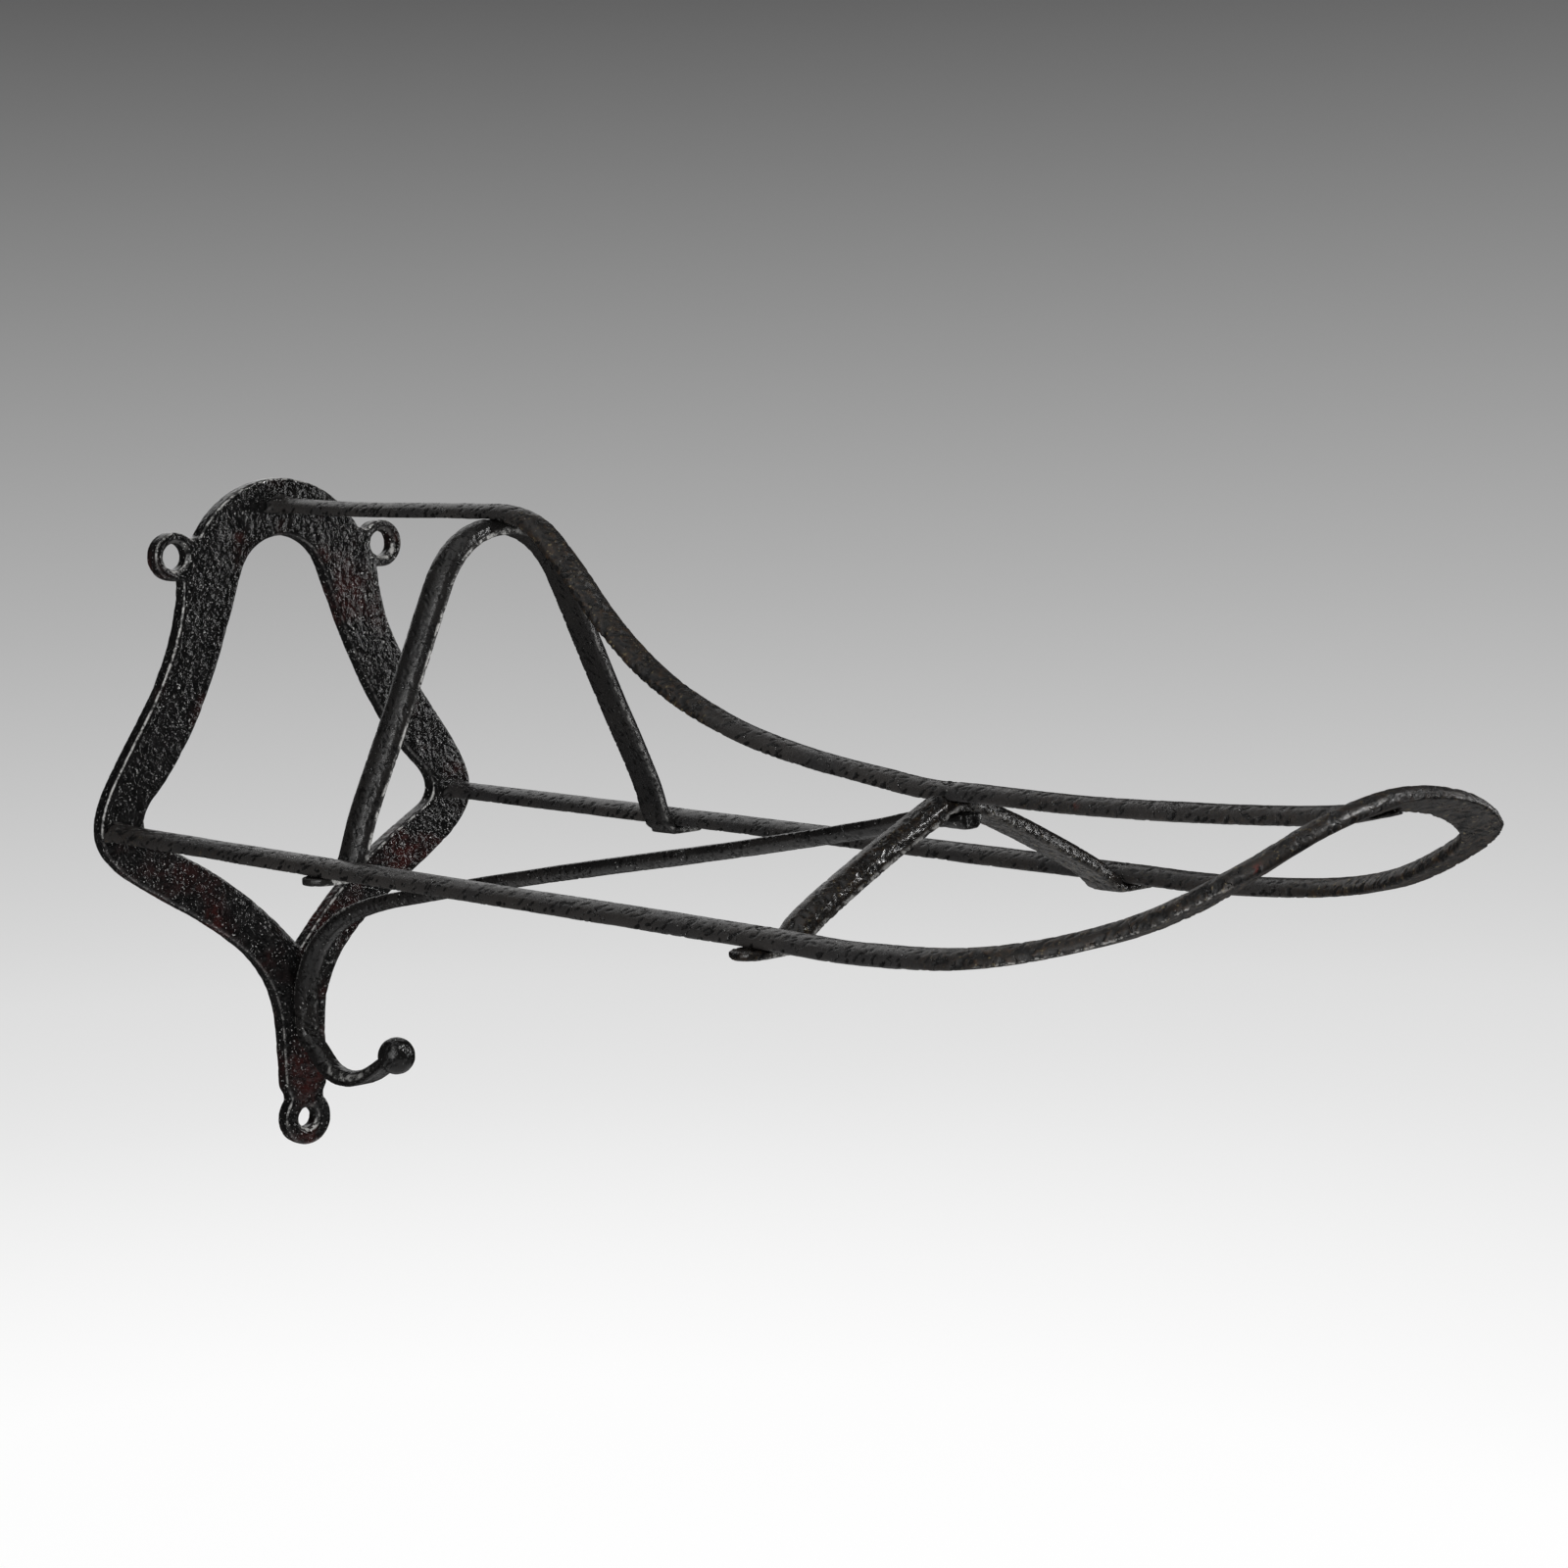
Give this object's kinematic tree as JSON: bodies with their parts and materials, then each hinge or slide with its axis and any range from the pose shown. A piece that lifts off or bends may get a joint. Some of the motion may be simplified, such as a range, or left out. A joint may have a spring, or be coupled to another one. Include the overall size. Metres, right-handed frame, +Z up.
{
  "type": "saddle rack",
  "caption": "Wall-mounted forged iron saddle rack: pierced wall plate, looped side rails with a raised nose, curved spine, pommel and rear arches, a brace and a bridle hook",
  "frame": {"origin": "on the back face of the wall plate, in the middle of its stem, on the object's middle plane", "axes": "+Z up, +X across the rack, -Y out of the wall towards the nose, +Y into the wall"},
  "size_m": [0.208, 0.6021, 0.2913],
  "materials": {
    "plate_paint": "gloss black paint over hammered, pitted iron",
    "bar_paint": "satin black paint, worn to dark iron, with traces of rust",
    "rivet_iron": "painted over, hammered flush"
  },
  "bodies": {
    "root": {"wall_plate": "plate_paint", "side_rail_loop": "bar_paint", "spine_bar": "bar_paint", "pommel_arch": "bar_paint", "rear_arch": "bar_paint", "brace_with_hook": "bar_paint", "rivet_stem_lower": "rivet_iron", "rivet_stem_upper": "rivet_iron", "rivet_pommel_foot_left": "rivet_iron", "rivet_pommel_foot_right": "rivet_iron", "rivet_pommel_apex": "rivet_iron", "rivet_rear_foot_left": "rivet_iron", "rivet_rear_foot_right": "rivet_iron", "rivet_rear_apex": "rivet_iron", "rivet_nose": "rivet_iron"}
  },
  "joints": []
}
